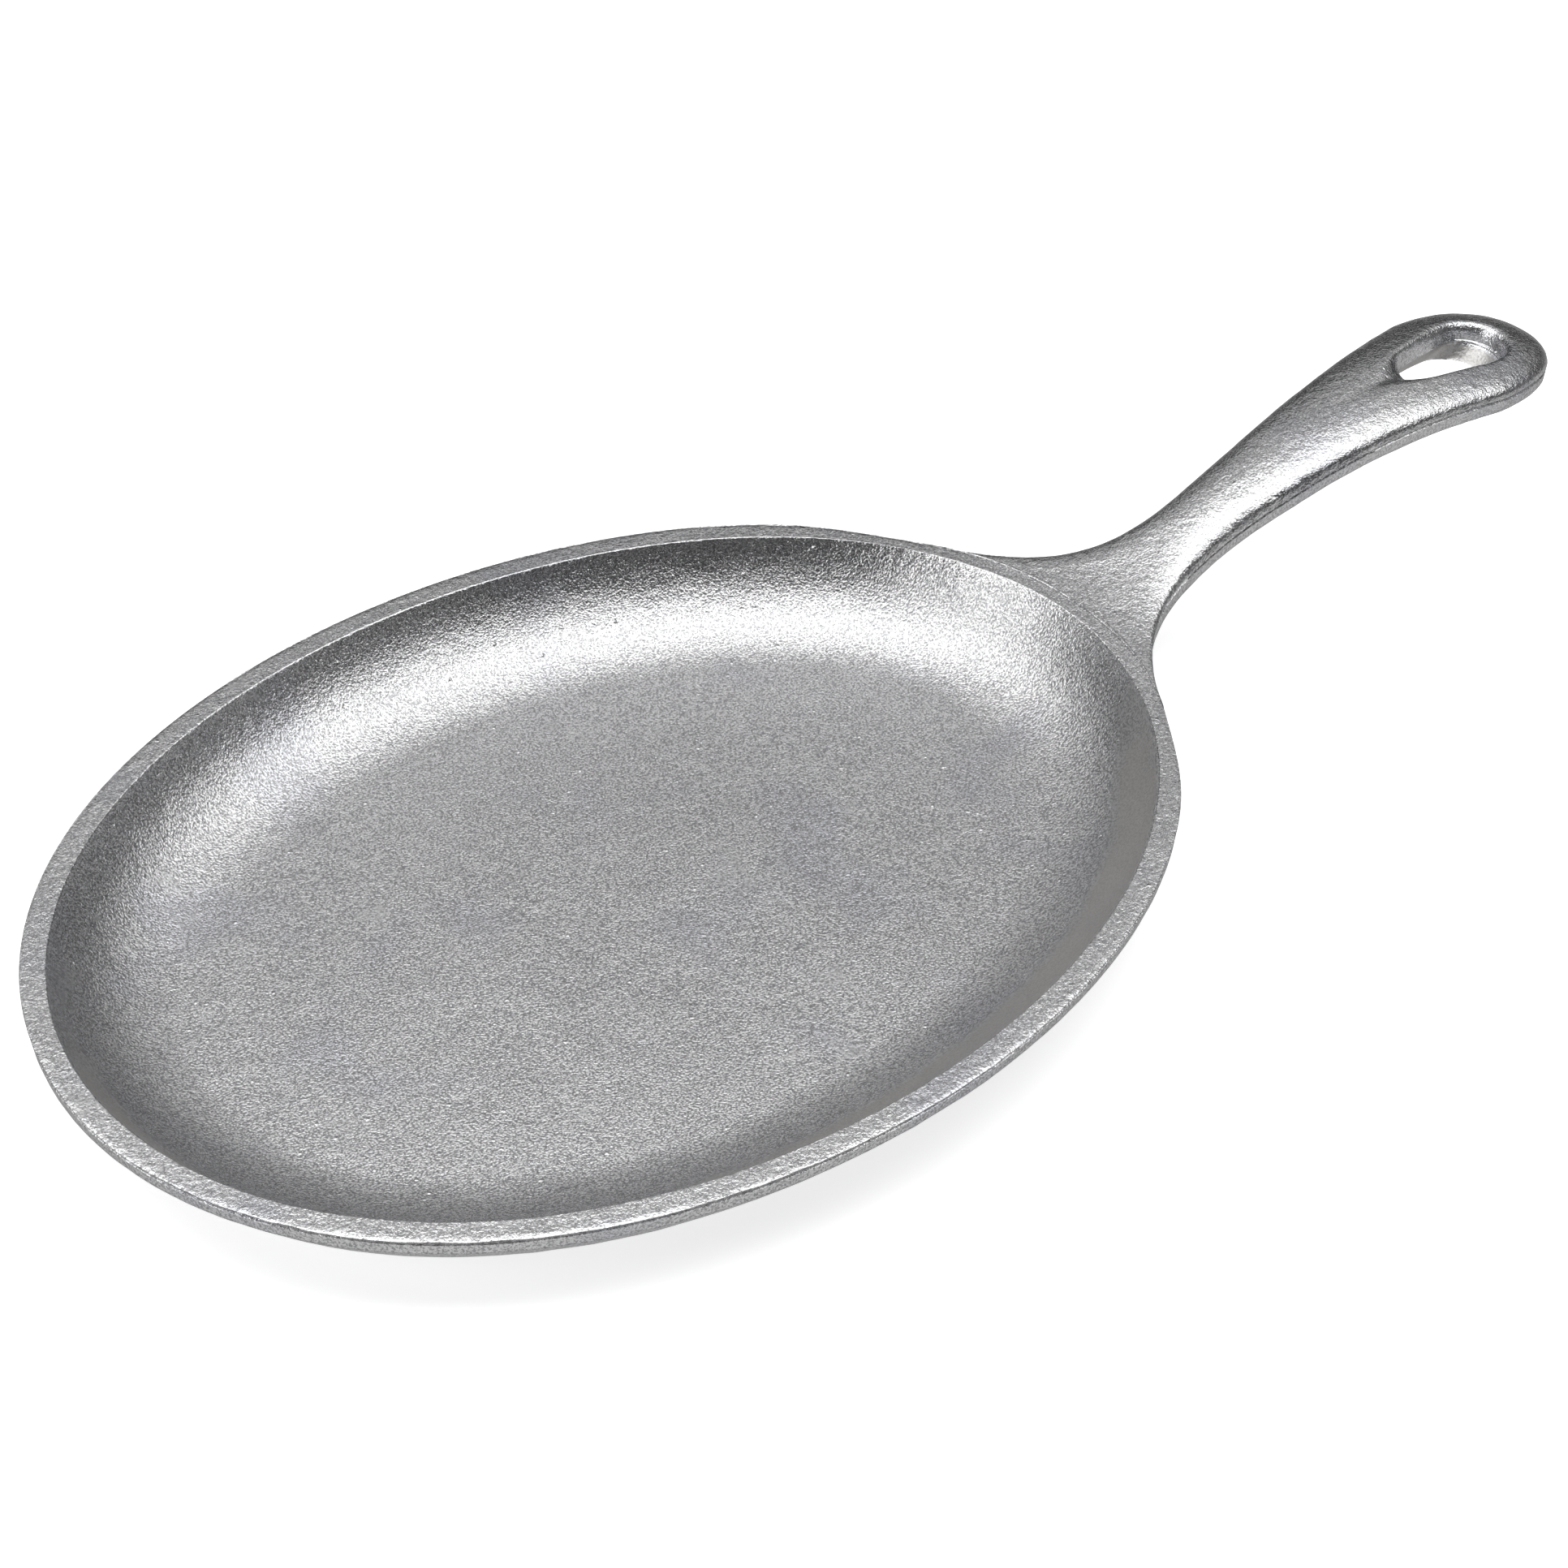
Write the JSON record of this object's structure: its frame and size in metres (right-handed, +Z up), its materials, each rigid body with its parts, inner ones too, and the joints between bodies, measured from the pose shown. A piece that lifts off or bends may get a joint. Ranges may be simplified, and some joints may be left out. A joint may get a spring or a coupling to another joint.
{
  "type": "oval skillet",
  "caption": "Shallow oval cast-metal skillet with a rounded inner wall and an arched flat handle ending in a drop-shaped hanging hole.",
  "frame": {"origin": "centre of the flat underside, below the middle of the oval dish", "axes": "+X along the dish's long axis towards the handle, +Y across the dish, +Z up out of the dish"},
  "size_m": [0.3926, 0.1948, 0.0402],
  "materials": {
    "cast_metal": "bare blasted casting skin, fine pebbled grain, satin silver-grey"
  },
  "bodies": {
    "root": {"skillet_casting": "cast_metal"}
  },
  "joints": []
}
